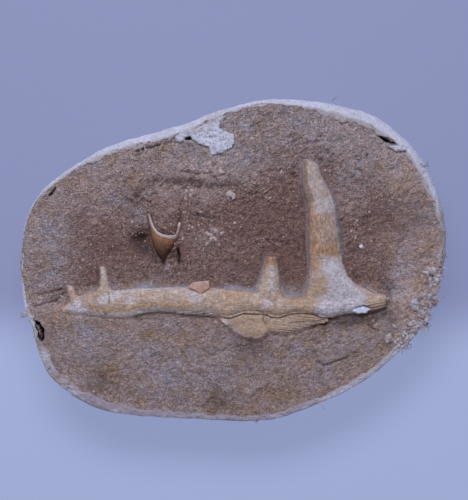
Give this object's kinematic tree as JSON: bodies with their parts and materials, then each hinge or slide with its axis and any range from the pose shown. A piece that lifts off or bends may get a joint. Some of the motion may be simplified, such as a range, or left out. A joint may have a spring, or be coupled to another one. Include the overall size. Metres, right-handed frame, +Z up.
{
  "type": "fossil fish jaw in a rock and plaster block",
  "caption": "Fossil lower jaw of a sabre-toothed fish with its fangs, lying in a rounded block of sandy rock backed by a white plaster jacket, for display.",
  "frame": {"origin": "under the middle of the block, on its flat plaster foot", "axes": "+X along the jaw towards its front fang, +Y towards the fangs' tips, +Z up out of the prepared face"},
  "size_m": [0.1806, 0.1363, 0.0315],
  "materials": {
    "plaster": "rough hand-smoothed white plaster with sand stains, dull",
    "rock": "sandy brown-grey phosphate rock, gritty, dull",
    "bone": "pale buff fossil bone, finely cracked, slight sheen",
    "fang": "buff and orange-brown fossil tooth, fine lengthwise streaks, satin",
    "horn": "dark brown glossy tooth enamel with a pale broken rim",
    "chip": "pinkish buff bone, satin",
    "putty": "white filler, dull"
  },
  "bodies": {
    "root": {"plaster_jacket": "plaster", "rock_matrix": "rock", "jaw_bone": "bone", "jaw_flake": "bone", "front_fang": "fang", "second_fang": "fang", "hind_tooth": "fang", "last_tooth": "bone", "hollow_fang": "horn", "bone_chip": "chip", "plaster_patch": "plaster", "plaster_flake": "plaster", "filler_blob": "putty"}
  },
  "joints": []
}
